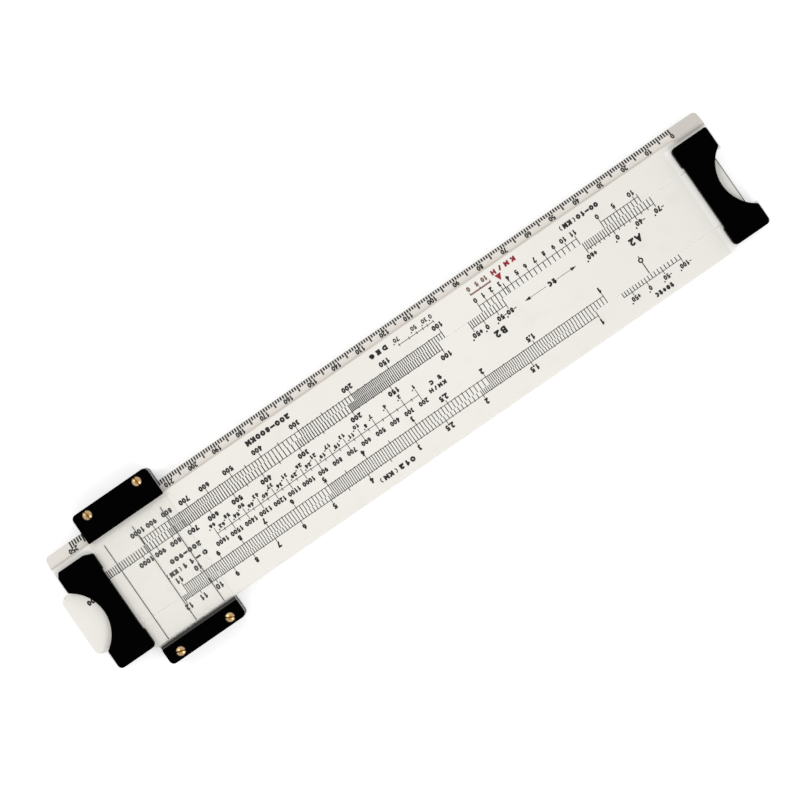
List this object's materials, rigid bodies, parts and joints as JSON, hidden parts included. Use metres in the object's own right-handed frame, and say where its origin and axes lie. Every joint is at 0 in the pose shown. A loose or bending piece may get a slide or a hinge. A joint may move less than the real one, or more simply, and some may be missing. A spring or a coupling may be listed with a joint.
{
  "type": "flight computer",
  "caption": "Straight slide rule for air navigation: white rails and sliding centre, notched black end plates, clear hairline cursor and a bevelled ruling edge.",
  "frame": {"origin": "centre of the whole rule's bounding box, on the plane that its back end plates rest on", "axes": "+X along the scales in the reading direction, +Y from the bevelled ruling edge to the plain edge, +Z out of the front face"},
  "size_m": [0.2744, 0.0612, 0.011],
  "materials": {
    "white_plastic": "satin",
    "black_plastic": "satin",
    "clear_plastic": "polished",
    "brass": "turned",
    "spring_bronze": "rolled",
    "black_ink": "printed",
    "red_ink": "printed"
  },
  "bodies": {
    "stock": {"lower_rail": "white_plastic", "upper_rail": "white_plastic", "front_end_plate_left": "black_plastic", "front_end_plate_right": "black_plastic", "back_end_plate_left": "black_plastic", "back_end_plate_right": "black_plastic", "end_plate_screws_left": "brass", "end_plate_screws_right": "brass"},
    "slide": {"slide": "white_plastic"},
    "cursor": {"cursor_front_window": "clear_plastic", "cursor_back_window": "clear_plastic", "cursor_upper_front_strip": "black_plastic", "cursor_lower_front_strip": "black_plastic", "cursor_upper_back_strip": "black_plastic", "cursor_lower_back_strip": "black_plastic", "cursor_upper_spacer": "black_plastic", "cursor_lower_spacer": "black_plastic", "cursor_front_screws": "brass", "cursor_back_screws": "brass", "cursor_spring": "spring_bronze"}
  },
  "joints": [
    {"name": "slide_travel", "type": "slide", "parent": "stock", "child": "slide", "axis": [1, 0, 0], "range_m": [-0.2435, 0.2365]},
    {"name": "cursor_travel", "type": "slide", "parent": "stock", "child": "cursor", "axis": [1, 0, 0], "range_m": [-0.2086, 0.0005]}
  ]
}
